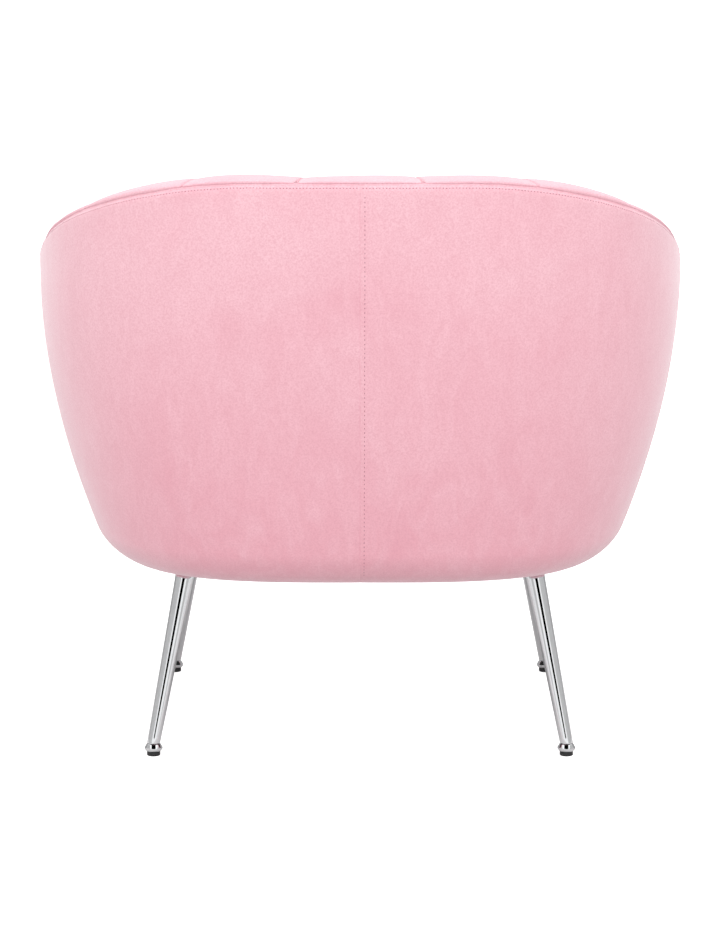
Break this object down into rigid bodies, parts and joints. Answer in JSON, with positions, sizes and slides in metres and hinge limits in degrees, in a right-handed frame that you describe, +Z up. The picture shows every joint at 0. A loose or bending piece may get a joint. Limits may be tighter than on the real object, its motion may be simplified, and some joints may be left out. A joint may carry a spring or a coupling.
{
  "type": "upholstered armchair",
  "caption": "Upholstered tub armchair with a channelled inside, a plain padded back, a loose seat cushion and splayed metal legs on screw glides.",
  "frame": {"origin": "on the floor, under the middle of the overall box", "axes": "+Z up, the sitter faces -Y, +Y to the back, +X to the right of someone looking along +Y"},
  "size_m": [0.8358, 0.702, 0.742],
  "materials": {
    "velvet": "short-pile pink velvet",
    "lining_cloth": "plain woven lining cloth",
    "dust_cloth": "thin black non-woven cloth",
    "wadding": "soft polyester wadding",
    "foam": "cut upholstery foam",
    "fibreboard": "bent fibreboard",
    "webbing": "woven elastic webbing",
    "plain_steel": "zinc-plated steel",
    "chrome": "polished chrome",
    "glide_plastic": "black moulded plastic",
    "frame_wood": "plain hardwood"
  },
  "bodies": {
    "chair": {"outer_cover_left": "velvet", "outer_cover_right": "velvet", "inside_cover": "velvet", "nose_cover_left": "velvet", "nose_cover_right": "velvet", "front_border_cover": "velvet", "deck_cover": "lining_cloth", "dust_cover": "dust_cloth", "channel_pad_centre": "foam", "channel_pad_left_1": "foam", "channel_pad_left_2": "foam", "channel_pad_left_3": "foam", "channel_pad_left_4": "foam", "channel_pad_left_5": "foam", "channel_pad_left_6": "foam", "channel_pad_right_1": "foam", "channel_pad_right_2": "foam", "channel_pad_right_3": "foam", "channel_pad_right_4": "foam", "channel_pad_right_5": "foam", "channel_pad_right_6": "foam", "nose_pad_left": "foam", "nose_pad_right": "foam", "front_border_pad": "foam", "deck_pad": "foam", "outer_wadding": "wadding", "outer_board": "fibreboard", "seat_front_rail": "frame_wood", "seat_rear_rail": "frame_wood", "seat_rail_left": "frame_wood", "seat_rail_right": "frame_wood", "corner_blocks": "frame_wood", "back_post_left": "frame_wood", "back_post_right": "frame_wood", "arm_post_left": "frame_wood", "arm_post_right": "frame_wood", "top_rail": "frame_wood", "seat_springs": "plain_steel", "spring_clips": "plain_steel", "back_webbing": "webbing", "leg_front_left": "chrome", "leg_front_right": "chrome", "leg_rear_left": "chrome", "leg_rear_right": "chrome", "leg_plates": "plain_steel", "leg_plate_screws": "plain_steel", "leg_studs": "plain_steel"},
    "cushion": {"cushion_top_panel": "velvet", "cushion_boxing": "velvet", "cushion_bottom_panel": "lining_cloth", "cushion_core": "foam"},
    "pad_front_left": {"glide_pad_front_left": "glide_plastic"},
    "screw_front_left": {"glide_cap_front_left": "chrome"},
    "pad_front_right": {"glide_pad_front_right": "glide_plastic"},
    "screw_front_right": {"glide_cap_front_right": "chrome"},
    "pad_rear_left": {"glide_pad_rear_left": "glide_plastic"},
    "screw_rear_left": {"glide_cap_rear_left": "chrome"},
    "pad_rear_right": {"glide_pad_rear_right": "glide_plastic"},
    "screw_rear_right": {"glide_cap_rear_right": "chrome"}
  },
  "joints": [
    {"name": "cushion_lift", "type": "slide", "parent": "chair", "child": "cushion", "axis": [0, 0, 1], "range_m": [0, 0.4]},
    {"name": "glide_travel_front_left", "type": "slide", "parent": "chair", "child": "pad_front_left", "axis": [0, 0, -1], "range_m": [0, 0.008]},
    {"name": "glide_turn_front_left", "type": "hinge", "parent": "pad_front_left", "child": "screw_front_left", "pos_m": [-0.2625, -0.235, 0.008], "axis": [0, 0, 1], "range_deg": [0, 2880]},
    {"name": "glide_travel_front_right", "type": "slide", "parent": "chair", "child": "pad_front_right", "axis": [0, 0, -1], "range_m": [0, 0.008]},
    {"name": "glide_turn_front_right", "type": "hinge", "parent": "pad_front_right", "child": "screw_front_right", "pos_m": [0.2625, -0.235, 0.008], "axis": [0, 0, 1], "range_deg": [0, 2880]},
    {"name": "glide_travel_rear_left", "type": "slide", "parent": "chair", "child": "pad_rear_left", "axis": [0, 0, -1], "range_m": [0, 0.008]},
    {"name": "glide_turn_rear_left", "type": "hinge", "parent": "pad_rear_left", "child": "screw_rear_left", "pos_m": [-0.2625, 0.235, 0.008], "axis": [0, 0, 1], "range_deg": [0, 2880]},
    {"name": "glide_travel_rear_right", "type": "slide", "parent": "chair", "child": "pad_rear_right", "axis": [0, 0, -1], "range_m": [0, 0.008]},
    {"name": "glide_turn_rear_right", "type": "hinge", "parent": "pad_rear_right", "child": "screw_rear_right", "pos_m": [0.2625, 0.235, 0.008], "axis": [0, 0, 1], "range_deg": [0, 2880]}
  ],
  "couplings": [
    {"joint": "glide_turn_front_left", "follows": "glide_travel_front_left", "rad_per_m": 6283.2},
    {"joint": "glide_turn_front_right", "follows": "glide_travel_front_right", "rad_per_m": 6283.2},
    {"joint": "glide_turn_rear_left", "follows": "glide_travel_rear_left", "rad_per_m": 6283.2},
    {"joint": "glide_turn_rear_right", "follows": "glide_travel_rear_right", "rad_per_m": 6283.2}
  ]
}
